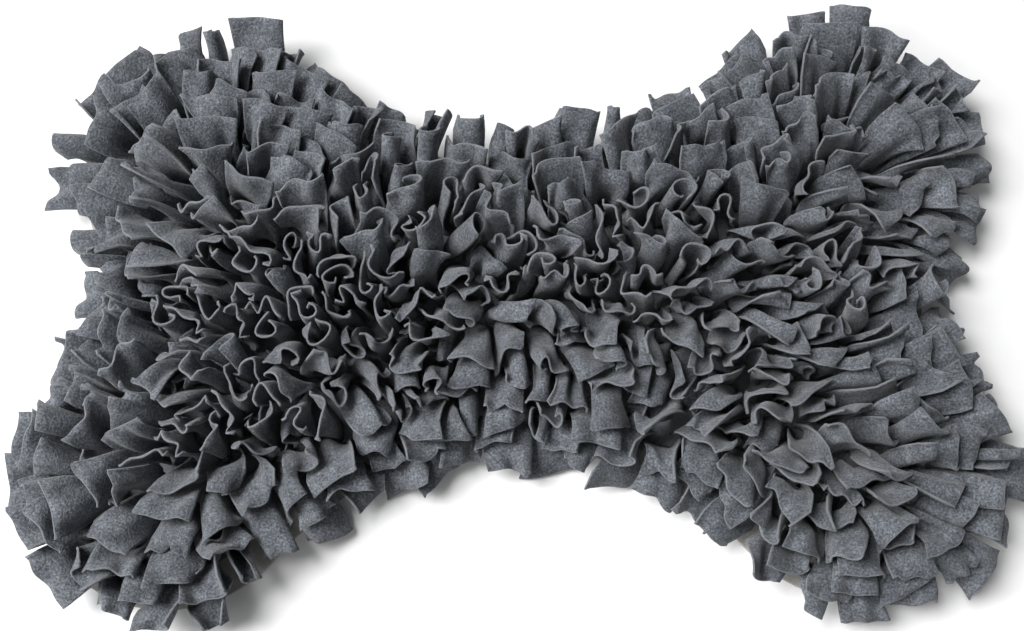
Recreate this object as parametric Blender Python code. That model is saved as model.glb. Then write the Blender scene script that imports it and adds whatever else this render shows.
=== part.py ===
"""Bone-shaped snuffle mat: a felt base with bands of felt flaps sewn on it.

Each band is one strip of felt that stands on its sewn edge, a low continuous root with its
free edge slit into flaps. The edge bands follow the outline and lean outwards over it. The
row bands run straight across the mat, and the gaps between the rows hide the treats.
"""

import math

import bmesh
import bpy
from mathutils import Vector

# Driving sizes, in metres.
BASE_THICKNESS = 0.003
FELT_THICKNESS = 0.002
GAP = 0.0003  # between a band's root and the base it is sewn to
LOBE_RADIUS = 0.083
ROOT_HEIGHT = 0.010
FLAP_PITCH = 0.026
SLIT_WIDTH = 0.0024
FLAP_TAPER = 0.94  # width at the free edge, as a share of the width at the root

ROW_MIDDLE_Y = 0.008
ROW_SPACING = 0.028
ROWS_EACH_SIDE = 5
ROW_INSET = 0.030  # how far the rows stay in from the base's edge
FEWEST_FLAPS = 2

EDGE_INSET = 0.012  # how far the edge bands' seam lies in from the base's edge
EDGE_LEAN = 0.017  # how far the edge bands' flaps lean outwards
EDGE_BAND_SPACE = 0.004  # between one edge band's end and the next

ROOT_WAVE = 0.003  # half the width of the wave that the root is gathered into
ARC_STEP = math.radians(6)

# The lobes and the hollows between them, in order round the outline, counter-clockwise.
LOBES = (
    # name, x, y, how many bands the lobe's edge takes
    ("upper_right", 0.206, 0.095, 4),
    ("upper_left", -0.190, 0.085, 4),
    ("lower_left", -0.205, -0.098, 4),
    ("lower_right", 0.204, -0.092, 4),
)
HOLLOWS = (
    # name, radius, how many bands it takes; each follows the lobe above it in order
    ("upper_waist", 0.222, 3),
    ("left_end", 0.095, 2),
    ("lower_waist", 0.186, 3),
    ("right_end", 0.074, 2),
)

# The free edge of a flap: how far its four points stand off the seam, and its length.
FLAP_FORMS = (
    # name, start, first third, second third, end, length
    ("scoop", 0.0078, -0.0042, -0.0050, 0.0070, 0.050),
    ("ess", -0.0080, 0.0050, -0.0042, 0.0078, 0.048),
    ("hood", -0.0070, 0.0058, 0.0046, -0.0078, 0.052),
    ("crease", 0.0050, -0.0080, 0.0062, -0.0040, 0.046),
    ("flat", -0.0036, 0.0016, 0.0042, -0.0016, 0.053),
    ("curl", 0.0080, 0.0062, -0.0068, -0.0030, 0.049),
)
FORM_STEP = 5  # the forms are dealt out in this stride, so that neighbours differ
FORM_STEP_BAND = 2

CHARCOAL_FELT = ("charcoal_felt", (0.105, 0.112, 0.122, 1.0), 0.95)
GREIGE_FELT = ("greige_felt", (0.42, 0.40, 0.37, 1.0), 0.95)


def clear_scene():
    for obj in list(bpy.data.objects):
        bpy.data.objects.remove(obj)


def felt(name, colour, roughness):
    material = bpy.data.materials.new(name)
    material.use_nodes = True
    shader = material.node_tree.nodes["Principled BSDF"]
    shader.inputs["Base Color"].default_value = colour
    shader.inputs["Roughness"].default_value = roughness
    shader.inputs["Metallic"].default_value = 0.0
    return material


def new_object(name, mesh, material):
    mesh.materials.append(material)
    obj = bpy.data.objects.new(name, mesh)
    bpy.context.scene.collection.objects.link(obj)
    return obj


def hollow_centre(lobe_a, lobe_b, radius):
    """Centre of the circle that touches both lobes from outside, on the outline's outer side."""
    a, b = Vector(lobe_a[1:3]), Vector(lobe_b[1:3])
    along = b - a
    half = along.length / 2
    reach = math.sqrt((LOBE_RADIUS + radius) ** 2 - half**2)
    outwards = Vector((along.y, -along.x)).normalized()
    return (a + b) / 2 + outwards * reach


def angle_to(centre, point):
    return math.atan2(point.y - centre.y, point.x - centre.x)


def outline_arcs():
    """The outline's arcs in order, each (name, centre, radius, from, to, outward sign, bands)."""
    centres = [
        hollow_centre(LOBES[k], LOBES[(k + 1) % 4], HOLLOWS[k][1]) for k in range(4)
    ]
    arcs = []
    for k, (name, x, y, bands) in enumerate(LOBES):
        lobe = Vector((x, y))
        start = angle_to(lobe, centres[k - 1])
        end = angle_to(lobe, centres[k])
        if end < start:
            end += math.tau
        arcs.append((name, lobe, LOBE_RADIUS, start, end, 1, bands))
        hollow, radius, hollow_bands = HOLLOWS[k]
        following = Vector(LOBES[(k + 1) % 4][1:3])
        start = angle_to(centres[k], lobe)
        end = angle_to(centres[k], following)
        if end > start:
            end -= math.tau
        arcs.append((hollow, centres[k], radius, start, end, -1, hollow_bands))
    return arcs


def arc_points(arc):
    """Points along one arc, without its last, which begins the next arc."""
    _, centre, radius, start, end, _, _ = arc
    steps = max(2, math.ceil(abs(end - start) / ARC_STEP))
    angles = [start + (end - start) * k / steps for k in range(steps)]
    return [centre + Vector((math.cos(a), math.sin(a))) * radius for a in angles]


def outline_points(arcs):
    return [point for arc in arcs for point in arc_points(arc)]


def depth_inside(point, outline):
    """How far a point lies inside the outline, or minus that if it lies outside."""
    nearest, inside = math.inf, False
    for k, b in enumerate(outline):
        a = outline[k - 1]
        side = b - a
        share = max(0.0, min(1.0, (point - a).dot(side) / side.length_squared))
        nearest = min(nearest, (point - a - side * share).length)
        if (a.y > point.y) != (b.y > point.y):
            crossing = a.x + (point.y - a.y) / (b.y - a.y) * (b.x - a.x)
            if point.x < crossing:
                inside = not inside
    return nearest if inside else -nearest


def make_base(outline, material):
    mesh = bpy.data.meshes.new("base")
    shape = bmesh.new()
    ring = [shape.verts.new((p.x, p.y, 0.0)) for p in outline]
    floor_face = shape.faces.new(ring)
    raised = bmesh.ops.extrude_face_region(shape, geom=[floor_face])
    top = [v for v in raised["geom"] if isinstance(v, bmesh.types.BMVert)]
    bmesh.ops.translate(shape, verts=top, vec=(0, 0, BASE_THICKNESS))
    bmesh.ops.recalc_face_normals(shape, faces=shape.faces)
    shape.to_mesh(mesh)
    shape.free()
    return new_object("base", mesh, material)


def flap_columns(count, length):
    """Where each flap's four points lie along a seam of that length, one list for each flap."""
    pitch = length / count
    wide = pitch - SLIT_WIDTH
    return [
        [k * pitch + SLIT_WIDTH / 2 + wide * third / 3 for third in range(4)]
        for k in range(count)
    ]


def make_band(name, place, length, count, lean, order, material):
    """One band of flaps. place(along, across) gives the point in plan; across is outwards."""
    mesh = bpy.data.meshes.new(name)
    sheet = bmesh.new()
    bottom = BASE_THICKNESS + GAP
    before = None
    for k, columns in enumerate(flap_columns(count, length)):
        form = FLAP_FORMS[(k * FORM_STEP + order * FORM_STEP_BAND) % len(FLAP_FORMS)]
        stand_off, flap_length = form[1:5], form[5]
        rise = math.sqrt(flap_length**2 - lean**2)
        middle = (columns[0] + columns[-1]) / 2
        rungs = []
        for along, off in zip(columns, stand_off):
            wave = ROOT_WAVE * math.sin(math.pi * along / (length / count))
            root = place(along, wave)
            free = place(middle + (along - middle) * FLAP_TAPER, lean + off)
            rungs.append(
                (
                    sheet.verts.new((*root, bottom)),
                    sheet.verts.new((*root, bottom + ROOT_HEIGHT)),
                    sheet.verts.new((*free, bottom + rise)),
                )
            )
        if before:
            sheet.faces.new((before[0], rungs[0][0], rungs[0][1], before[1]))
        for a, b in zip(rungs, rungs[1:]):
            sheet.faces.new((a[0], b[0], b[1], a[1]))
            sheet.faces.new((a[1], b[1], b[2], a[2]))
        before = rungs[-1]
    sheet.to_mesh(mesh)
    sheet.free()
    band = new_object(name, mesh, material)
    thicken = band.modifiers.new("felt", "SOLIDIFY")
    thicken.thickness = FELT_THICKNESS
    thicken.offset = 0.0
    thicken.use_even_offset = False
    return band


def make_edge_bands(arcs, material):
    order = 0
    for name, centre, radius, start, end, sign, bands in arcs:
        seam_radius = radius - sign * EDGE_INSET
        turn = (end - start) / bands
        trim = EDGE_BAND_SPACE / 2 / seam_radius * math.copysign(1, turn)
        for k in range(bands):
            first = start + turn * k + trim
            length = (abs(turn) - 2 * abs(trim)) * seam_radius

            def place(along, across, first=first, seam=seam_radius, turn=turn):
                angle = first + math.copysign(along / seam, turn)
                out = Vector((math.cos(angle), math.sin(angle)))
                point = centre + out * (seam + sign * across)
                return point.x, point.y

            count = max(FEWEST_FLAPS, round(length / FLAP_PITCH))
            full_name = f"edge_{name}_{k + 1}" if bands > 1 else f"edge_{name}"
            make_band(full_name, place, length, count, EDGE_LEAN, order, material)
            order += 1


def row_stretches(y, outline):
    """The stretches (x from, x to) of the line at y that lie at least ROW_INSET inside the outline."""
    step = 0.001
    width = max(p.x for p in outline)
    xs = [k * step - width for k in range(round(2 * width / step))]
    stretches, opened = [], None
    for x in xs:
        if depth_inside(Vector((x, y)), outline) >= ROW_INSET:
            opened = x if opened is None else opened
            last = x
        elif opened is not None:
            stretches.append((opened, last))
            opened = None
    return [s for s in stretches if s[1] - s[0] >= FEWEST_FLAPS * FLAP_PITCH]


def make_rows(outline, material):
    order = 0
    for k in range(-ROWS_EACH_SIDE, ROWS_EACH_SIDE + 1):
        y = ROW_MIDDLE_Y + ROW_SPACING * k
        stretches = row_stretches(y, outline)
        for (first, last), side in zip(stretches, "ab"):
            count = math.floor((last - first) / FLAP_PITCH)
            spare = (last - first) - count * FLAP_PITCH

            def place(along, across, x=first + spare / 2, y=y):
                return x + along, y + across

            number = k + ROWS_EACH_SIDE + 1
            name = f"row_{number:02d}{side if len(stretches) > 1 else ''}"
            make_band(name, place, count * FLAP_PITCH, count, 0.0, order, material)
            order += 1


def main():
    clear_scene()
    charcoal = felt(*CHARCOAL_FELT)
    greige = felt(*GREIGE_FELT)
    arcs = outline_arcs()
    outline = outline_points(arcs)
    make_base(outline, greige)
    make_edge_bands(arcs, charcoal)
    make_rows(outline, charcoal)


main()
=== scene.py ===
import math
import random

import bmesh
import bpy
import numpy as np
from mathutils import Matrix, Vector
from mathutils.kdtree import KDTree


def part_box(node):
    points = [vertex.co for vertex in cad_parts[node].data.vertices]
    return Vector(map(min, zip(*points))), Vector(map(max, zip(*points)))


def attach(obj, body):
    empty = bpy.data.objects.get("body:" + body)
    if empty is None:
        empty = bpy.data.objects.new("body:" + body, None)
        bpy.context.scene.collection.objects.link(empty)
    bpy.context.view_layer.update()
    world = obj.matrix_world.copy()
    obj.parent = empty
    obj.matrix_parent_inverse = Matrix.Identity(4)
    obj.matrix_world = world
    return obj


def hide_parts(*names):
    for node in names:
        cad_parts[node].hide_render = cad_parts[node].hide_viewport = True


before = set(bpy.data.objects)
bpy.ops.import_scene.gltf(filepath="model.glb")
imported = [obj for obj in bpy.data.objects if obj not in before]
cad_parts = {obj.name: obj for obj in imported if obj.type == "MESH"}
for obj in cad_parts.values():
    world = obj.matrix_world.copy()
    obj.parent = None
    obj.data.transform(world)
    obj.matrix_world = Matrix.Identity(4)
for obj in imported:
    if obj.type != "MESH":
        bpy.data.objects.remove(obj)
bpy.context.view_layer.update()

mm = 0.001
dice = random.Random(21)  # the only source of chance, so every run lays the same mat


def fromHex(code):
    channels = [int(code[k:k + 2], 16) / 255 for k in (0, 2, 4)]
    return [c / 12.92 if c <= 0.04045 else ((c + 0.055) / 1.055) ** 2.4 for c in channels] + [1]


def addNode(tree, kind, inputs, **settings):
    node = tree.nodes.new(kind)
    for name, value in settings.items():
        setattr(node, name, value)
    for key, value in inputs.items():
        if isinstance(value, bpy.types.NodeSocket):
            tree.links.new(value, node.inputs[key])
        else:
            node.inputs[key].default_value = value
    return node


def startMaterial(name, roughness, specular=0.5):
    material = bpy.data.materials.new(name)
    material.use_nodes = True
    skin = material.node_tree.nodes["Principled BSDF"]
    skin.inputs["Roughness"].default_value = roughness
    skin.inputs["Specular IOR Level"].default_value = specular
    return material, skin


def keepMesh(name, shape):
    mesh = bpy.data.meshes.new(name)
    shape.to_mesh(mesh)
    shape.free()
    return mesh


def makeSquare(name, halfWidth):
    shape = bmesh.new()
    bmesh.ops.create_grid(shape, x_segments=1, y_segments=1, size=halfWidth)
    return keepMesh(name, shape)


def addObject(name, mesh):
    piece = bpy.data.objects.new(name, mesh)
    bpy.context.scene.collection.objects.link(piece)
    return piece


camera = {
    "elevation": 75,  # degrees above the floor
    "distance": 0.80,  # metres from the middle of the mat
    "lens": 44.7,  # mm
    "sensorWidth": 36,  # mm
}


def makeCamera():
    lift = math.radians(camera["elevation"])
    data = bpy.data.cameras.new("view")
    data.lens = camera["lens"]
    data.sensor_width = camera["sensorWidth"]
    view = bpy.data.objects.new("view", data)
    view.location = Vector((0, -math.cos(lift), math.sin(lift))) * camera["distance"]
    view.rotation_euler = (math.radians(90) - lift, 0, 0)
    bpy.context.scene.collection.objects.link(view)
    bpy.context.scene.camera = view


studio = {
    "floor": "f6f6f6",
    "floorRoughness": 0.9,
    "floorHalfWidth": 60.0,
    "sky": 0.10,
    "lamps": {  # direction it shines from, softness in degrees and strength
        "keyLamp": ((-0.60, 0.18, 1.0), 32, 3.15),
        "fillLamp": ((-0.5, -0.7, 1.0), 50, 0.5),
    },
    "sideBox": {"spot": (-0.95, 0.0, 0.75), "width": 0.6, "power": 7.5},  # near, so its side is brighter
}


def hangLamp(data, spot):
    lamp = bpy.data.objects.new(data.name, data)
    lamp.location = spot
    lamp.rotation_euler = (-Vector(spot)).to_track_quat("-Z", "Y").to_euler()
    bpy.context.scene.collection.objects.link(lamp)


def makeStudio():
    world = bpy.data.worlds.new("studio")
    world.use_nodes = True
    world.node_tree.nodes["Background"].inputs["Color"].default_value = (1, 1, 1, 1)
    world.node_tree.nodes["Background"].inputs["Strength"].default_value = studio["sky"]
    bpy.context.scene.world = world
    bpy.context.scene.view_settings.view_transform = "Standard"
    for name, (spot, softness, strength) in studio["lamps"].items():
        data = bpy.data.lights.new(name, "SUN")  # far softboxes, even over the whole floor
        data.angle = math.radians(softness)
        data.energy = strength
        hangLamp(data, spot)
    box = bpy.data.lights.new("sideBox", "AREA")
    box.shape = "DISK"
    box.size = studio["sideBox"]["width"]
    box.energy = studio["sideBox"]["power"]
    hangLamp(box, studio["sideBox"]["spot"])
    # a paper roll: matt and evenly white
    paper, skin = startMaterial("backdropPaper", studio["floorRoughness"])
    skin.inputs["Base Color"].default_value = fromHex(studio["floor"])
    floor = addObject("floor", makeSquare("floor", studio["floorHalfWidth"]))
    floor.data.materials.append(paper)


def traceOutline():
    # the base's lower edge, walked from corner to corner
    shape = bmesh.new()
    shape.from_mesh(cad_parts["base"].data)
    bmesh.ops.remove_doubles(shape, verts=shape.verts, dist=0.01 * mm)
    rim = [
        edge for edge in shape.edges
        if all(v.co.z < mm for v in edge.verts) and any(abs(f.normal.z) < 0.5 for f in edge.link_faces)
    ]  # low edges with a side wall next to them
    left = set(rim)
    edge = rim[0]
    corner = edge.verts[0]
    points = []
    while edge:
        left.discard(edge)
        points.append(Vector((corner.co.x, corner.co.y)))
        corner = edge.other_vert(corner)
        edge = next((e for e in corner.link_edges if e in left), None)
    shape.free()
    turned = sum(a.x * b.y - b.x * a.y for a, b in zip(points, points[1:] + points[:1]))
    return points if turned > 0 else points[::-1]


outline = traceOutline()  # anticlockwise
outlineFrom = np.array([p[:] for p in outline])
outlineAlong = np.roll(outlineFrom, -1, 0) - outlineFrom
print("outline traced,", len(outline), "points")


def insetOutline(depth):
    # the outline moved inwards, back to where it starts
    path = []
    for k, point in enumerate(outline):
        along = (outline[(k + 1) % len(outline)] - outline[k - 1]).normalized()
        path.append(point + Vector((-along.y, along.x)) * depth)
    return path + path[:1]


def findDepth(x, y):
    # how far inside the edge a point is, and which way is out
    point = np.array((x, y))
    share = ((point - outlineFrom) * outlineAlong).sum(1) / (outlineAlong ** 2).sum(1)
    near = outlineFrom + outlineAlong * np.clip(share, 0, 1)[:, None]
    gap = np.hypot(*(near - point).T)
    top = outlineFrom[:, 1] + outlineAlong[:, 1]
    crossing = (outlineFrom[:, 1] > y) != (top > y)
    rise = np.where(crossing, outlineAlong[:, 1], 1)
    reach = outlineFrom[:, 0] + (y - outlineFrom[:, 1]) / rise * outlineAlong[:, 0]
    inside = (crossing & (x < reach)).sum() % 2 == 1
    weight = np.exp(-(gap - gap.min()) / laying["outwardBlend"])
    away = ((near - point) / np.maximum(gap, 1e-6)[:, None] * weight[:, None]).sum(0) / weight.sum()
    return (gap.min(), away) if inside else (-gap.min(), -away)


flap = {
    "width": 37 * mm,
    "length": 51 * mm,  # from the sewn root to the cut end
    "thickness": 1.4 * mm,
    "squares": (8, 7),  # across and up, while the flaps settle
    "easedSquares": (13, 5),  # and once the bends are eased out
    "footHeight": 0.8 * mm,  # the sewn root above the base
    "rootHeight": 15 * mm,  # the low part of a CAD band, which shows where its roots are
    "edgeCrease": 0.6,
    "startSize": 0.55,  # each flap starts small and grows until it meets its neighbours
    "startCell": 1.0 * mm,  # small flaps keep a free cell this wide between them
}

laying = {
    "edgeRings": (  # how far in from the edge, spacing along it and length against the usual
        (16 * mm, 25 * mm, 0.84),
        (23 * mm, 25 * mm, 0.90),
        (30 * mm, 25 * mm, 0.96),
        (38 * mm, 25 * mm, 1.0),
    ),
    "innerPasses": (  # darts thrown, least gap face to face and side to side, length against the usual
        (8000, 9.5 * mm, 18 * mm, 1.04),
        (10000, 6.8 * mm, 12.5 * mm, 0.92),
        (12000, 5.0 * mm, 9 * mm, 0.68),
    ),
    "ringJitter": 1.5,  # mm along x and y
    "ringSpacing": (0.9, 1.1),
    "ringTurn": 0.45,  # how far a flap may turn from its ring or row, in radians
    "rowTurn": 0.6,
    "ringTries": 10,  # other turns and forms, until one has room
    "rowTries": 6,
    "ringGap": 5 * mm,  # between the last ring and the flaps inside it
    "rowsFollowEdge": 35 * mm,  # rows run along x, and bend to follow the edge when it is this near
    "outwardBlend": 12 * mm,  # how softly the way out turns between two stretches of the edge
    "shortFlap": 0.8,  # flaps shorter than this share stay out of the ruffles, whose hollows are open
    "hollowFrom": 0.4,  # nearness to a ruffle
    "bareFrom": 0.37,  # nearness to a bare edge: 1 / e is one reach away
    "leanByDepth": (  # depth inside the edge, lean at the root and at the tip in degrees
        (0 * mm, 12, 135), (14 * mm, 12, 122), (24 * mm, 10, 102), (34 * mm, 8, 88),
        (44 * mm, 6, 78), (60 * mm, 4, 66), (80 * mm, 2, 52), (110 * mm, 0, 40),
    ),
    "wildFrom": 30 * mm,  # from this depth the flaps grow wilder, over as much again
    "narrowing": 0.25,  # the strips get narrower towards +x, by this share in a metre
    "farSideUpright": 0.38,  # flaps on the +y edge stand up more and are longer by these shares
    "farSideLonger": 0.06,
    "clump": 22 * mm,  # neighbours lean together, by so many degrees
    "clumpLean": 24,
    "clumpWaves": ((2.1, 0.6, 1.3), (2.3, 0.7, 0.4)),  # how far they wander, how fast, and their start
    "combing": (  # where the hand pushed the pile over: x, y, reach in metres, then lean to +x and +y
        (-0.020, 0.075, 0.060, 0, 14),
        (0.075, -0.030, 0.055, 12, -28),
        (0.020, 0.000, 0.050, 6, -24),
        (0.140, 0.040, 0.050, 20, 10),
    ),
    "ruffles": (  # where the flaps stand up in tight curls: x, y and reach
        (-0.124, -0.014, 0.056),
        (-0.055, 0.058, 0.042),
        (0.020, 0.062, 0.040),
        (0.085, 0.050, 0.040),
        (0.205, -0.005, 0.030),
    ),
    "calms": (  # where the flaps lie over one another face up: x, y and reach
        (-0.215, 0.090, 0.065),
        (-0.155, 0.078, 0.042),
        (-0.210, 0.044, 0.040),
        (0.205, 0.095, 0.050),
        (0.185, -0.090, 0.065),
        (0.100, -0.085, 0.050),
        (-0.215, -0.120, 0.055),
        (0.000, -0.085, 0.045),
    ),
    "bareEdges": (  # where the base shows past the flaps: x, y and reach
        (-0.135, -0.135, 0.026),
        (0.168, 0.168, 0.018),
    ),
    "ribbons": (  # long strips: x, y, direction in degrees, length in metres and gather in radians
        (-0.185, 0.022, -8, 0.24, 1.6),
        (-0.208, -0.008, 2, 0.32, 1.65),
        (-0.212, -0.040, 6, 0.34, 1.65),
        (-0.205, -0.073, 12, 0.30, 1.6),
        (-0.085, 0.062, 6, 0.16, 1.5),
        (0.026, 0.044, 14, 0.24, 1.6),
        (0.165, 0.012, -6, 0.16, 1.6),
    ),
    # x, y, lean of the tip to +x and +y, form, curl at the root and at the tip, length against the usual
    "placedFlaps": (
        (-0.164, 0.150, 2, 46, "flat", 0.8, 0.6, 1.06),
        (-0.190, 0.152, -4, 44, "tube", 0.8, 0.8, 0.9),
        (0.213, 0.157, 4, 44, "scoop", 0.9, 0.6, 1.12),
        (0.196, 0.157, -4, 46, "hook", 0.9, 0.7, 1.02),
        (0.206, 0.147, 0, 42, "scoop", 0.9, 0.6, 1.12),
        (0.178, 0.154, -8, 44, "ess", 0.9, 0.7, 0.95),
        (0.233, 0.150, 14, 42, "ess", 0.9, 0.7, 1.0),
        (-0.240, 0.088, -88, 2, "scoop", 1.0, 1.25, 0.92),
        (-0.238, 0.066, -90, -2, "scoop", 1.0, 1.2, 0.80),
        (-0.236, 0.044, -88, -6, "scoop", 1.0, 1.25, 0.88),
        (-0.222, -0.092, -70, -34, "scoop", 0.9, 0.5, 1.05),
        (-0.192, -0.104, -14, -78, "flat", 0.9, 0.6, 1.05),
        (-0.214, -0.118, -46, -66, "scoop", 0.8, 0.4, 1.0),
        (-0.104, 0.088, -6, 38, "scoop", 1.0, 0.7, 1.0),
        (-0.078, 0.078, 0, 34, "tube", 1.0, 0.9, 1.0),
        (-0.052, 0.080, 2, 34, "tube", 1.0, 1.05, 1.05),
        (-0.024, 0.088, -4, 40, "scoop", 1.0, 0.8, 1.0),
        (0.004, 0.086, 2, 40, "ess", 1.0, 0.8, 1.0),
        (0.036, 0.092, 6, 42, "scoop", 1.0, 0.7, 1.0),
        (0.062, 0.094, 8, 40, "tube", 1.0, 0.8, 1.0),
        (0.207, -0.010, 0, 0, "roll", 1.0, 1.0, 1.0),
        (-0.080, -0.060, -10, -72, "scoop", 0.9, 0.5, 1.0),
        (-0.034, 0.026, -6, -34, "scoop", 1.0, 0.7, 1.08),
        (-0.008, 0.018, 8, -40, "ess", 1.0, 0.8, 1.08),
        (-0.022, -0.012, 4, -48, "scoop", 1.0, 0.7, 1.08),
        (-0.050, -0.012, -10, -44, "ess", 1.0, 0.7, 1.08),
        (0.014, -0.014, 12, -52, "scoop", 1.0, 0.6, 1.05),
        (-0.006, -0.036, 2, -66, "flat", 1.0, 0.8, 1.05),
    ),
    "placedRootLean": 0.3,  # of the lean at the tip
    "placedTone": 0.3,
}

variety = {  # how far one flap may differ from the next
    "width": (0.92, 1.06),
    "length": (0.92, 1.07),
    "skew": 0.1,  # a cut end is seldom quite square
    "sway": 0.35,  # lean to any side, in radians
    "twist": 0.45,
    "nod": 0.5,  # lean along the flap's face
    "tameTwist": 0.4,  # what is left of twist and nod where the pile isn't wild
    "tameNod": 0.3,
    "edgeCurl": ((0.8, 1.1), (0.05, 0.6)),  # at the root and at the tip
    "edgeTubeRoot": 0.9,
    "edgeTubeTip": (0.6, 0.95),
    "innerCurl": ((0.9, 1.15), (0.3, 0.9)),
    "tipCurlByWildness": (0.45, 0.55),  # the least share of it, and how much more in the wildest pile
    "keepsItsCurl": 0.8,  # the share of flaps that curl the same way at both ends
    "calming": 0.7,  # in a calm the flaps are tamer by this share
    "calmDroop": 0.7,  # and lean farther over
    "ruffleSway": 0.1,  # in a ruffle they sway less
    "ruffleSteadies": 0.7,  # lean less with their neighbours
    "ruffleStands": 0.9,  # stand up more
    "ruffleSquares": 0.5,  # have squarer ends
    "ruffleWider": 0.14,  # are wider
    "ruffleCurls": 0.35,  # and curl more at the tip
}

ribbon = {  # a strip gathered into loops and slit into flaps
    "loopLength": 80 * mm,  # length of strip in one loop
    "slit": 2.5 * mm,
    "bow": (0.1, 0.4),  # it also bends slowly, by so many radians
    "bowLength": 30 * mm,  # of strip to a radian of the bow
    "lean": ((-0.15, 0.15), (-0.2, 0.1)),  # to +x and +y, in radians
    "length": (0.95, 1.05),
    "skew": 0.06,
    "steps": 40,  # along the width of one flap
}

# heading along the width of a flap, seen from above, in radians
sections = {
    "flat": lambda u: 0.35 * np.sin(math.tau * u),
    "scoop": lambda u: 1.6 * (2 * u - 1),
    "ess": lambda u: 1.5 * np.sin(math.tau * u),
    "crimp": lambda u: 1.3 * np.sin(2 * math.tau * u),
    "tube": lambda u: 2.7 * (2 * u - 1),
    "roll": lambda u: 4.8 * u ** 1.4 - 1.9,
    "hook": lambda u: 2.4 * np.maximum(0, 2 * u - 0.7) ** 1.3 - 0.5,
    "pleat": lambda u: 1.2 * np.tanh(9 * (u - 0.45)),
}


def placeFlap(one, size):
    # the points of one flap, row by row from its root, at a share of its full size
    across, up = flap["squares"]
    u = np.linspace(0, 1, across + 1)
    t = np.linspace(0, 1, up + 1)[:, None]
    middle = (u[1:] + u[:-1]) / 2
    rooted = (1 - t) ** 1.5  # the root's form gives way to the tip's
    heading = (
        one["rootForm"](middle) * one["rootCurl"] * rooted
        + one["tipForm"](middle) * one["tipCurl"] * (1 - rooted)
        + one["turn"] + one["twist"] * t * t
    )
    steps = np.stack([np.cos(heading), np.sin(heading)], 2) * one["wide"] / across
    plan = np.concatenate([np.zeros((len(t), 1, 2)), np.cumsum(steps, 1)], 1)
    plan -= plan.mean(1, keepdims=True)
    reach = t * (1 + one["skew"] * (2 * u - 1))

    def leanAt(share):
        share = share[..., None]
        bend = one["rootLean"] + (one["tipLean"] - one["rootLean"]) * share
        return bend * one["out"] + one["sway"] * np.minimum(1, 2 * share) + one["nod"] * share ** 2

    fine = np.linspace(0, 1.3, 66)  # past the tip, because a skewed end reaches farther
    lean = leanAt((fine[1:] + fine[:-1]) / 2)
    angle = np.maximum(np.hypot(*lean.T), 1e-6)
    climb = np.column_stack([np.sin(angle)[:, None] * lean / angle[:, None], np.cos(angle)])
    spine = np.vstack([[0, 0, 0], np.cumsum(climb * fine[1], 0)]) * one["long"]
    spineAt = np.stack([np.interp(reach, fine, spine[:, k]) for k in range(3)], 2)

    lean = leanAt(reach)
    angle = np.maximum(np.hypot(lean[..., 0], lean[..., 1]), 1e-6)[..., None]
    toward = lean / angle
    ahead = (plan * toward).sum(2, keepdims=True)
    flat = plan + toward * ahead * (np.cos(angle) - 1)
    local = np.concatenate([flat, -ahead * np.sin(angle)], 2)
    return one["foot"] + (spineAt + local) * size


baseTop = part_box("base")[1].z
flaps = []
roomCorner, roomEnd = np.array((-0.35, -0.25, -0.03)), np.array((0.35, 0.25, 0.12))  # ample round the mat
roomTaken = np.zeros(((roomEnd - roomCorner) / flap["startCell"]).astype(int), bool)


def cellsOf(rows):
    # the cells of space that a flap passes through, with points halfway between its own
    rows = np.repeat(rows, 2, 0)[:-1]
    rows[1:-1:2] = (rows[:-2:2] + rows[2::2]) / 2
    rows = np.repeat(rows, 2, 1)[:, :-1]
    rows[:, 1:-1:2] = (rows[:, :-2:2] + rows[:, 2::2]) / 2
    return ((rows.reshape(-1, 3) - roomCorner) / flap["startCell"]).astype(int)


def clumpLean(x, y):
    # two waves that cross and wander, so that the clumps don't stand in rows
    across, up = x / laying["clump"], y / laying["clump"]
    lean = [
        math.sin(ahead + wander * math.sin(pace * aside) + start)
        for ahead, aside, (wander, pace, start) in zip((across, up), (up, across), laying["clumpWaves"])
    ]
    return np.array(lean) * math.radians(laying["clumpLean"])


def eitherWay(most):
    return dice.uniform(-most, most)


def nearness(spots, x, y):
    # 1 at one of the spots, and less with the distance against its reach
    return max(math.exp(-((x - sx) ** 2 + (y - sy) ** 2) / reach ** 2) for sx, sy, reach in spots)


def takeRoom(one):
    # a flap is laid only where its small form passes through no other
    cells = cellsOf(placeFlap(one, flap["startSize"]))
    if roomTaken[tuple(cells.T)].any():
        return False
    for dx, dy, dz in np.ndindex(3, 3, 3):
        roomTaken[tuple((cells + (dx - 1, dy - 1, dz - 1)).T)] = True
    flaps.append(one)
    return True


def curlFlap(edge, ruffle, wild):
    # the forms and curls of the root and the tip
    if edge:
        rootForm = dice.choice(("scoop", "ess", "pleat", "scoop"))
        tipForm = dice.choice(("flat", "flat", "scoop", "ess", "pleat", "hook", "tube"))
        rootCurl, tipCurl = (dice.uniform(*curl) for curl in variety["edgeCurl"])
        if tipForm == "tube":
            rootForm, rootCurl = "tube", variety["edgeTubeRoot"]
            tipCurl = dice.uniform(*variety["edgeTubeTip"])
    else:
        rootForm = dice.choice(("scoop", "ess", "pleat", "crimp", "tube", "hook"))
        tipForm = dice.choice((rootForm, rootForm, rootForm, "scoop", "ess"))
        if dice.random() < ruffle:
            rootForm = tipForm = dice.choice(("tube", "hook", "roll", "ess", "tube"))
        elif dice.random() > wild:
            tipForm = dice.choice(("flat", "flat", "scoop"))
        rootCurl, tipCurl = (dice.uniform(*curl) for curl in variety["innerCurl"])
        least, more = variety["tipCurlByWildness"]
        tipCurl = tipCurl * (least + more * wild) + variety["ruffleCurls"] * ruffle
    flip = dice.choice((-1, 1))
    return rootForm, tipForm, rootCurl * flip, tipCurl * flip


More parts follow.
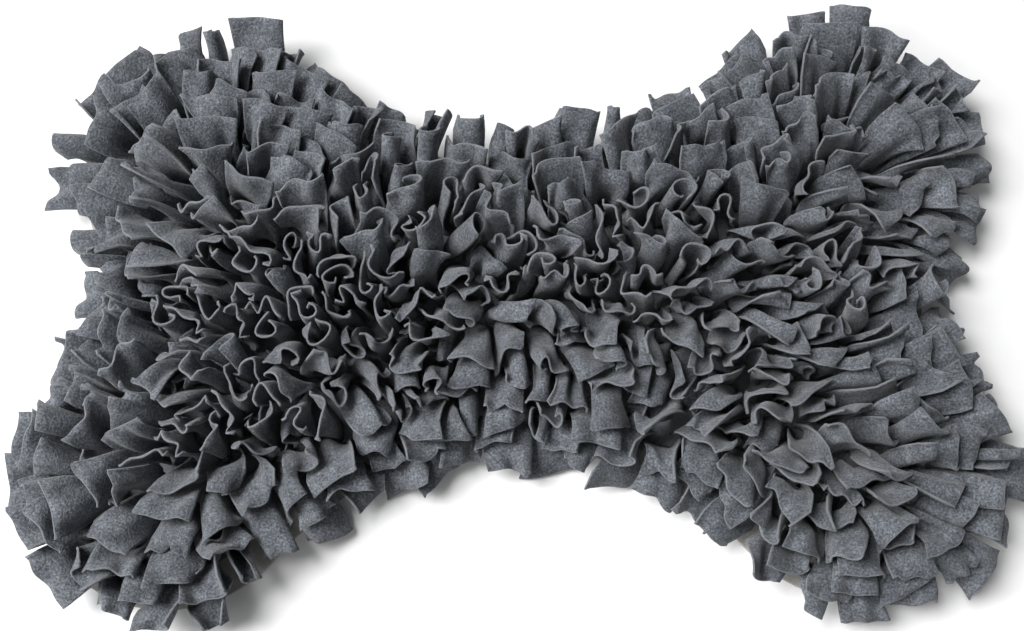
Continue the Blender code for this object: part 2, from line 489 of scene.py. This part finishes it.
def tryFlap(x, y, turn, edge, lengthShare):
    depth, out = findDepth(x, y)
    depths, rootLeans, tipLeans = zip(*laying["leanByDepth"])
    ruffle = nearness(laying["ruffles"], x, y)
    calm = nearness(laying["calms"], x, y)
    lively = 1 - variety["calming"] * calm
    wild = min(1.0, max(0.0, (depth - laying["wildFrom"]) / laying["wildFrom"])) * lively
    comb = np.zeros(2)
    for cx, cy, reach, leanX, leanY in laying["combing"]:
        comb += np.radians((leanX, leanY)) * nearness([(cx, cy, reach)], x, y)
    angle = dice.uniform(0, math.tau)
    farthest = variety["sway"] - variety["ruffleSway"] * ruffle
    sway = np.array((math.cos(angle), math.sin(angle))) * dice.random() * farthest
    sway += (comb + clumpLean(x, y) * (1 - variety["ruffleSteadies"] * ruffle)) * wild
    rootForm, tipForm, rootCurl, tipCurl = curlFlap(edge, ruffle, wild)
    farSide = max(0.0, out[1])
    droop = (1 - laying["farSideUpright"] * farSide * lively) * (1 - variety["ruffleStands"] * ruffle * wild)
    calmDroop = 1 + variety["calmDroop"] * calm * wild ** 0.5
    wider, narrower = 1 + variety["ruffleWider"] * ruffle, 1 - laying["narrowing"] * x
    facing = np.array((-math.sin(turn), math.cos(turn)))
    lengthShare *= 1 + laying["farSideLonger"] * farSide
    return takeRoom({
        "foot": np.array((x, y, baseTop + flap["footHeight"])),
        "out": out,
        "rootForm": sections[rootForm], "tipForm": sections[tipForm],
        "rootCurl": rootCurl, "tipCurl": tipCurl * (1 if dice.random() < variety["keepsItsCurl"] else -1),
        "turn": turn, "twist": eitherWay(variety["twist"]) * (variety["tameTwist"] + wild),
        "wide": flap["width"] * dice.uniform(*variety["width"]) * wider * narrower,
        "long": flap["length"] * lengthShare * dice.uniform(*variety["length"]),
        "skew": eitherWay(variety["skew"]) * (1 - variety["ruffleSquares"] * ruffle),
        "rootLean": math.radians(np.interp(depth, depths, rootLeans)),
        "tipLean": math.radians(np.interp(depth, depths, tipLeans)) * droop * calmDroop,
        "sway": sway,
        "nod": facing * eitherWay(variety["nod"]) * (variety["tameNod"] + wild),
        "tone": dice.uniform(-1, 1),
    })


def placeByHand(x, y, leanX, leanY, form, rootCurl, tipCurl, lengthShare):
    lean = math.radians(math.hypot(leanX, leanY))
    toward = np.array((leanX, leanY)) / max(math.hypot(leanX, leanY), 1e-6)
    takeRoom({
        "foot": np.array((x, y, baseTop + flap["footHeight"])),
        "out": toward, "rootLean": lean * laying["placedRootLean"], "tipLean": lean,
        "rootForm": sections[form], "tipForm": sections[form], "rootCurl": rootCurl, "tipCurl": tipCurl,
        "turn": math.atan2(-toward[0], toward[1]), "twist": 0.0,
        "wide": flap["width"], "long": flap["length"] * lengthShare, "skew": 0.0,
        "sway": np.zeros(2), "nod": np.zeros(2), "tone": laying["placedTone"],
    })


def layRibbon(x, y, direction, length, gather):
    # the strip winds along its path, and each flap of it stands on its own stretch
    corner = np.array((x, y))
    phase, bow, tone = dice.uniform(0, math.tau), dice.uniform(*ribbon["bow"]), dice.uniform(-1, 1)
    lean = np.array([dice.uniform(*span) for span in ribbon["lean"]])
    wide, steps = flap["width"], ribbon["steps"]
    feet = []
    for start in np.arange(0, length, wide + ribbon["slit"]):
        def windingAt(u, start=start):
            walked = start + u * wide
            loops = gather * np.sin(math.tau * walked / ribbon["loopLength"] + phase)
            return loops + bow * np.sin(walked / ribbon["bowLength"])

        heading = windingAt((np.arange(steps) + 0.5) / steps) + math.radians(direction)
        path = corner + np.cumsum(np.column_stack([np.cos(heading), np.sin(heading)]), 0) * wide / steps
        foot = path.mean(0)
        if takeRoom({
            "foot": np.array((*foot, baseTop + flap["footHeight"])),
            "out": np.zeros(2), "rootLean": 0.0, "tipLean": 0.0,
            "rootForm": windingAt, "tipForm": windingAt, "rootCurl": 1.0, "tipCurl": 1.0,
            "turn": math.radians(direction), "twist": 0.0,
            "wide": wide, "long": flap["length"] * dice.uniform(*ribbon["length"]),
            "skew": eitherWay(ribbon["skew"]), "sway": lean, "nod": np.zeros(2), "tone": tone,
        }):
            feet.append((*foot, math.radians(direction)))
        corner = path[-1] + (path[-1] - path[-2]) * ribbon["slit"] / wide * steps
    return feet


def layByHand():
    for choice in laying["placedFlaps"]:
        placeByHand(*choice)
    roots = [(x, y, 0.0) for x, y, *rest in laying["placedFlaps"]]
    for choice in laying["ribbons"]:
        roots += layRibbon(*choice)
    print("placed flaps and ribbons laid,", len(flaps))
    return roots


def layEdgeRing(depth, spacing, lengthShare):
    path = insetOutline(depth)
    wanted = dice.uniform(0, spacing)
    walked = 0.0
    roots = []
    for start, end in zip(path, path[1:]):
        side = end - start
        turn = math.atan2(side.y, side.x)
        while walked + side.length >= wanted:
            spot = start + side * ((wanted - walked) / side.length)
            bare = nearness(laying["bareEdges"], spot.x, spot.y) > laying["bareFrom"]
            if not bare and any(tryFlap(
                spot.x + eitherWay(laying["ringJitter"]) * mm, spot.y + eitherWay(laying["ringJitter"]) * mm,
                turn + eitherWay(laying["ringTurn"]), True, lengthShare,
            ) for attempt in range(laying["ringTries"])):
                roots.append((spot.x, spot.y, turn))
            wanted += spacing * dice.uniform(*laying["ringSpacing"])
        walked += side.length
    return roots


def layInside(roots):
    low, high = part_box("base")
    deepest = laying["edgeRings"][-1][0]
    passes = [kind[1:] for kind in laying["innerPasses"] for dart in range(kind[0])]
    for faceGap, sideGap, lengthShare in passes:
        x, y = dice.uniform(low.x, high.x), dice.uniform(low.y, high.y)
        depth, out = findDepth(x, y)
        short = lengthShare < laying["shortFlap"]
        hollow = short and nearness(laying["ruffles"], x, y) > laying["hollowFrom"]
        if depth < deepest + laying["ringGap"] or hollow:
            continue
        nearEdge = max(0.0, 1 - (depth - deepest) / laying["rowsFollowEdge"])
        side = 1 if out[1] <= 0 else -1
        turn = math.atan2(out[0] * side * nearEdge, abs(out[1]) * nearEdge + 1 - nearEdge)
        placed = np.array(roots)
        gap = placed[:, :2] - (x, y)
        c, s = np.cos(placed[:, 2]), np.sin(placed[:, 2])
        along = (gap[:, 0] * c + gap[:, 1] * s) / sideGap
        across = (gap[:, 1] * c - gap[:, 0] * s) / faceGap
        if (along ** 2 + across ** 2).min() < 1:
            continue
        if any(
            tryFlap(x, y, turn + eitherWay(laying["rowTurn"]), False, lengthShare)
            for attempt in range(laying["rowTries"])
        ):
            roots.append((x, y, turn))


def layFlaps():
    roots = layByHand()
    for ring in laying["edgeRings"]:
        roots += layEdgeRing(*ring)
    print("edge flaps laid,", len(flaps))
    layInside(roots)
    print("inner flaps laid,", len(flaps), "in all")


settling = {
    "frames": 18,
    "growFrames": 13,
    "quality": 4,
    "pointMass": 0.0006,  # kg
    "stretchStiffness": 15,
    "shearStiffness": 5,
    "bendingStiffness": 0.3,
    "airDamping": 2,
    "friction": 5,
    "touchQuality": 2,
    "gapToGround": 1.2 * mm,
    "groundThickness": 0.5 * mm,
    "groundHalfWidth": 0.4,
    "gapAtStart": 1.3 * mm,  # how close two faces may come, small and grown
    "gapAtEnd": 2.3 * mm,
    "pinnedColumns": (2, 6),  # the middle of the root is sewn down
    "bendsAcross": 6,  # felt this thick takes only so many bends, and finer ripples are eased out
    "bendsUp": 3,
    "lowest": 0.3 * mm,  # tips that hang over the edge stay this far above the floor
}


def sewFlaps(name, members, squares, points):
    # one mesh of these flaps, each a sheet of squares with the points it is given, row by row
    shape = bmesh.new()
    shape.loops.layers.uv.new("cut")
    tone = shape.verts.layers.float.new("tone")
    crease = shape.verts.layers.float.new("crease_vert")
    across, up = squares
    for number in members:
        grid = bmesh.ops.create_grid(shape, x_segments=across, y_segments=up, size=0.5, calc_uvs=True)
        for vert in grid["verts"]:
            i, j = round((vert.co.x + 0.5) * across), round((vert.co.y + 0.5) * up)
            vert.co = points[number][j][i]
            vert[tone] = flaps[number]["tone"]
            if i in (0, across) and j == up:
                vert[crease] = 1.0  # a cut corner stays sharp
    for face in shape.faces:
        face.smooth = True
    return keepMesh(name, shape)


def smoother(squares, easedSquares, bends):
    # fits smooth curves to rows of points and reads them off on a finer or coarser row
    given, wanted = (
        np.polynomial.legendre.legvander(np.linspace(-1, 1, count + 1), bends)
        for count in (squares, easedSquares)
    )
    return wanted @ np.linalg.pinv(given)


def growFlaps(cloth, full):
    # from small to full size over the first frames
    cloth.shape_key_add(name="small")
    grown = cloth.shape_key_add(name="grown")
    grown.data.foreach_set("co", full.astype(np.float32).ravel())
    for frameNumber, value in ((1, 0), (settling["growFrames"], 1)):
        grown.value = value
        grown.keyframe_insert("value", frame=frameNumber)


def softenFlaps(cloth):
    # sewn down along the middle of each root, and kept apart from each other and from the ground
    across, up = flap["squares"]
    rowLength = across + 1
    first, last = settling["pinnedColumns"]
    roots = range(0, len(cloth.data.vertices), rowLength * (up + 1))
    sewn = [k + row * rowLength + i for k in roots for row in (0, 1) for i in range(first, last + 1)]
    cloth.vertex_groups.new(name="sewn").add(sewn, 1.0, "REPLACE")
    settle = cloth.modifiers.new("settle", "CLOTH")
    felt = settle.settings
    felt.quality = settling["quality"]
    felt.mass = settling["pointMass"]
    felt.tension_stiffness = felt.compression_stiffness = settling["stretchStiffness"]
    felt.shear_stiffness = settling["shearStiffness"]
    felt.bending_stiffness = settling["bendingStiffness"]
    felt.vertex_group_mass = "sewn"
    felt.air_damping = settling["airDamping"]
    felt.use_dynamic_mesh = True
    touch = settle.collision_settings
    touch.distance_min = settling["gapToGround"]
    touch.use_self_collision = True
    touch.self_friction = settling["friction"]
    touch.collision_quality = settling["touchQuality"]
    for frameNumber, gap in ((1, settling["gapAtStart"]), (settling["growFrames"], settling["gapAtEnd"])):
        touch.self_distance_min = gap
        cloth.keyframe_insert('modifiers["settle"].collision_settings.self_distance_min', frame=frameNumber)
    settle.point_cache.frame_end = settling["frames"] + 1


def settleFlaps():
    full = np.array([placeFlap(one, 1.0) for one in flaps])
    scene = bpy.context.scene
    small = [placeFlap(one, flap["startSize"]) for one in flaps]
    mesh = sewFlaps("settling", range(len(flaps)), flap["squares"], small)
    cloth = addObject("settling", mesh)
    growFlaps(cloth, full)
    softenFlaps(cloth)
    guard = addObject("groundGuard", makeSquare("groundGuard", settling["groundHalfWidth"]))
    guard.modifiers.new("guard", "COLLISION")
    guard.collision.thickness_outer = settling["groundThickness"]
    points = np.empty(len(mesh.vertices) * 3, np.float32)
    for frameNumber in range(1, settling["frames"] + 1):
        scene.frame_set(frameNumber)
        cloth.evaluated_get(bpy.context.evaluated_depsgraph_get()).data.vertices.foreach_get("co", points)
    print("flaps settled, lowest", round(float(points[2::3].min()) / mm, 1), "mm")
    for helper in (guard, cloth):
        data = helper.data
        bpy.data.objects.remove(helper)
        bpy.data.meshes.remove(data)
    scene.frame_set(1)
    return points.reshape(full.shape)


def easeFlaps(points):
    across, up = zip(flap["squares"], flap["easedSquares"], (settling["bendsAcross"], settling["bendsUp"]))
    eased = np.einsum("ij,kl,njlc->nikc", smoother(*up), smoother(*across), points, optimize=True)
    eased[..., 2] = np.maximum(eased[..., 2], flap["thickness"] / 2 + settling["lowest"])
    return eased


feltFleece = {
    "dark": "393d42",
    "middle": "5d6167",
    "light": "81858b",
    # the cut edges get a painted highlight of this colour, for the frayed fibres catching the light
    "cutEdgeHighlight": "7e8185",
    "cutEdgeHighlightWidth": 0.5 * mm,  # and it fades over as much again
    "cutEdgeHighlightFray": 1.2 * mm,
    "cutEdgeHighlightShare": 0.7,
    "roughness": 0.95,
    "specular": 0.15,
    "sheen": 0.25,
    "sheenRoughness": 0.5,
    "heather": 1.4 * mm,  # size of the blended dark and light tufts, as single fibres are too fine to show
    "nap": 8 * mm,  # size of the patches brushed one way
    "napShades": (0.76, 1.24),
    "toneByFlap": 0.10,
    "bump": 0.9 * mm,
}


def makeFeltFleece():
    # needle-punched polyester felt with a brushed nap: matt and mottled grey, with a painted highlight where
    # it is cut, for the frayed fibres catching the light
    material, skin = startMaterial("needlePunchedFelt", feltFleece["roughness"], feltFleece["specular"])
    tree = material.node_tree
    skin.inputs["Sheen Weight"].default_value = feltFleece["sheen"]
    skin.inputs["Sheen Roughness"].default_value = feltFleece["sheenRoughness"]

    # blended tufts, darker and lighter patches of nap, and a tone of its own for each flap
    place = addNode(tree, "ShaderNodeTexCoord", {}).outputs["Object"]
    heather = addNode(tree, "ShaderNodeTexNoise", {
        "Vector": place, "Scale": 1 / feltFleece["heather"], "Detail": 2.0, "Roughness": 0.7,
    }).outputs["Fac"]
    nap = addNode(tree, "ShaderNodeTexNoise", {
        "Vector": place, "Scale": 1 / feltFleece["nap"], "Detail": 2.0,
    }).outputs["Fac"]
    mottle = addNode(tree, "ShaderNodeMapRange", {"Value": heather, "From Min": 0.28, "From Max": 0.72})
    tufts = addNode(tree, "ShaderNodeValToRGB", {"Fac": mottle.outputs["Result"]})
    ramp = tufts.color_ramp.elements
    ramp[0].color, ramp[1].color = fromHex(feltFleece["dark"]), fromHex(feltFleece["light"])
    ramp.new(0.5).color = fromHex(feltFleece["middle"])
    tone = addNode(tree, "ShaderNodeAttribute", {}, attribute_name="tone").outputs["Fac"]
    deepest, palest = feltFleece["napShades"]
    brushed = addNode(tree, "ShaderNodeMapRange", {
        "Value": nap, "From Min": 0.3, "From Max": 0.7, "To Min": deepest, "To Max": palest,
    }).outputs["Result"]
    flapTone = addNode(tree, "ShaderNodeMath", {
        0: tone, 1: feltFleece["toneByFlap"], 2: 1.0,
    }, operation="MULTIPLY_ADD").outputs[0]
    shade = addNode(tree, "ShaderNodeMath", {0: brushed, 1: flapTone}, operation="MULTIPLY").outputs[0]
    shaded = addNode(tree, "ShaderNodeVectorMath", {
        0: tufts.outputs["Color"], "Scale": shade,
    }, operation="SCALE").outputs[0]

    # a painted highlight along the cut edges, where the frayed fibres catch the light, from the distance
    # across and along the flap
    uv = addNode(tree, "ShaderNodeUVMap", {}, uv_map="cut").outputs["UV"]
    cut = addNode(tree, "ShaderNodeSeparateXYZ", {"Vector": uv}).outputs
    side = addNode(tree, "ShaderNodeMath", {0: cut["X"], 1: 0.5}, operation="PINGPONG").outputs[0]
    sideGap = addNode(tree, "ShaderNodeMath", {0: side, 1: flap["width"]}, operation="MULTIPLY").outputs[0]
    endGap = addNode(tree, "ShaderNodeMath", {
        0: cut["Y"], 1: -flap["length"], 2: flap["length"],
    }, operation="MULTIPLY_ADD").outputs[0]
    edgeGap = addNode(tree, "ShaderNodeMath", {0: sideGap, 1: endGap}, operation="MINIMUM").outputs[0]
    frayed = addNode(tree, "ShaderNodeMath", {
        0: heather, 1: feltFleece["cutEdgeHighlightFray"], 2: edgeGap,
    }, operation="MULTIPLY_ADD").outputs[0]
    # painted highlight: near the cut edges the colour turns towards the pale cut-edge colour
    paintedHighlight = addNode(tree, "ShaderNodeMapRange", {
        "Value": frayed, "From Min": feltFleece["cutEdgeHighlightWidth"], "From Max": 2 * feltFleece["cutEdgeHighlightWidth"],
        "To Min": feltFleece["cutEdgeHighlightShare"], "To Max": 0.0,
    }, interpolation_type="SMOOTHSTEP").outputs["Result"]
    colour = addNode(tree, "ShaderNodeMix", {
        0: paintedHighlight, 6: shaded, 7: fromHex(feltFleece["cutEdgeHighlight"]),
    }, data_type="RGBA")
    tree.links.new(colour.outputs[2], skin.inputs["Base Color"])
    bump = addNode(tree, "ShaderNodeBump", {
        "Height": heather, "Strength": 1.0, "Distance": feltFleece["bump"],
    })
    tree.links.new(bump.outputs["Normal"], skin.inputs["Normal"])
    return material


baseSheet = {
    "colour": "b3b1ad",
    "roughness": 0.95,
    "specular": 0.15,
    "heather": 1.8 * mm,
    "shades": (0.85, 1.12),
    "bump": 0.3 * mm,
    "bumpStrength": 0.4,
    "lift": 0.3 * mm,  # above the floor
    "roundedEdge": 0.4 * mm,
}

rootSheet = {
    "inset": 20 * mm,  # from the edge of the base
    "lift": 0.05 * mm,  # above the base
    "top": 1.2 * mm,  # its upper face above the base
}


def makeBaseFelt():
    # pressed needle-punched felt: pale greige, matt and faintly mottled
    material, skin = startMaterial("pressedFelt", baseSheet["roughness"], baseSheet["specular"])
    tree = material.node_tree
    place = addNode(tree, "ShaderNodeTexCoord", {}).outputs["Object"]
    heather = addNode(tree, "ShaderNodeTexNoise", {
        "Vector": place, "Scale": 1 / baseSheet["heather"], "Detail": 3.0,
    }).outputs["Fac"]
    deepest, palest = baseSheet["shades"]
    shade = addNode(tree, "ShaderNodeMapRange", {
        "Value": heather, "From Min": 0.25, "From Max": 0.75, "To Min": deepest, "To Max": palest,
    }).outputs["Result"]
    colour = addNode(tree, "ShaderNodeVectorMath", {
        0: fromHex(baseSheet["colour"])[:3], "Scale": shade,
    }, operation="SCALE")
    tree.links.new(colour.outputs[0], skin.inputs["Base Color"])
    bump = addNode(tree, "ShaderNodeBump", {
        "Height": heather, "Strength": baseSheet["bumpStrength"], "Distance": baseSheet["bump"],
    })
    tree.links.new(bump.outputs["Normal"], skin.inputs["Normal"])
    return material


def cutSheet(name, edge, below, above):
    # a flat sheet with this edge, its rims rounded a little, and its area
    shape = bmesh.new()
    sheet = shape.faces.new([shape.verts.new((point.x, point.y, below)) for point in edge])
    area = sheet.calc_area()
    raised = bmesh.ops.extrude_face_region(shape, geom=[sheet])["geom"]
    corners = [part for part in raised if isinstance(part, bmesh.types.BMVert)]
    bmesh.ops.translate(shape, verts=corners, vec=(0, 0, above - below))
    bmesh.ops.recalc_face_normals(shape, faces=shape.faces)
    rims = [side for side in shape.edges if len({round(face.normal.z) for face in side.link_faces}) == 2]
    bmesh.ops.bevel(
        shape, geom=rims, offset=baseSheet["roundedEdge"], affect="EDGES",
        segments=2, profile=0.5, material=-1,
    )
    bmesh.ops.triangulate(shape, faces=[face for face in shape.faces if len(face.verts) > 4])
    piece = addObject(name, keepMesh(name, shape))
    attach(piece, "root")
    return piece, area


def makeBase():
    base, area = cutSheet("baseSheet", outline, baseSheet["lift"], baseTop)
    base.data.materials.append(makeBaseFelt())
    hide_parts("base")
    return base


def makeRootSheet(felt):
    # the uncut roots of the strips lie flat on the base, side by side
    inset = rootSheet["inset"]
    edge = insetOutline(inset)[:-1]  # without the closing point
    roots, area = cutSheet("rootSheet", edge, baseTop + rootSheet["lift"], baseTop + rootSheet["top"])
    roots.data.materials.append(felt)


def makeBands(points, felt):
    # every band of the frame becomes the flaps whose roots lie nearest to it
    bands = [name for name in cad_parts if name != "base"]
    roots = [
        (vertex.co, name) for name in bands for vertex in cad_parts[name].data.vertices
        if vertex.co.z < flap["rootHeight"]
    ]
    tree = KDTree(len(roots))
    for number, (co, name) in enumerate(roots):
        tree.insert(co, number)
    tree.balance()
    members = {name: [] for name in bands}
    for number, one in enumerate(flaps):
        nearest = tree.find(one["foot"])[1]
        members[roots[nearest][1]].append(number)
    for name, numbers in members.items():
        mesh = sewFlaps(name + "_flaps", numbers, flap["easedSquares"], points)
        piece = addObject(name + "_flaps", mesh)
        piece.data.materials.append(felt)
        thick = piece.modifiers.new("thickness", "SOLIDIFY")
        thick.thickness = flap["thickness"]
        thick.offset = 0
        thick.edge_crease_rim = thick.edge_crease_inner = thick.edge_crease_outer = flap["edgeCrease"]
        smooth = piece.modifiers.new("smooth", "SUBSURF")
        smooth.levels = smooth.render_levels = 1
        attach(piece, "root")
        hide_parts(name)
    print("bands sewn, with", sorted(len(numbers) for numbers in members.values()), "flaps")


makeCamera()
makeStudio()
print("camera and studio ready")
layFlaps()
points = settleFlaps()
points = easeFlaps(points)
felt = makeFeltFleece()
base = makeBase()
makeRootSheet(felt)
print("base sheets made")
makeBands(points, felt)
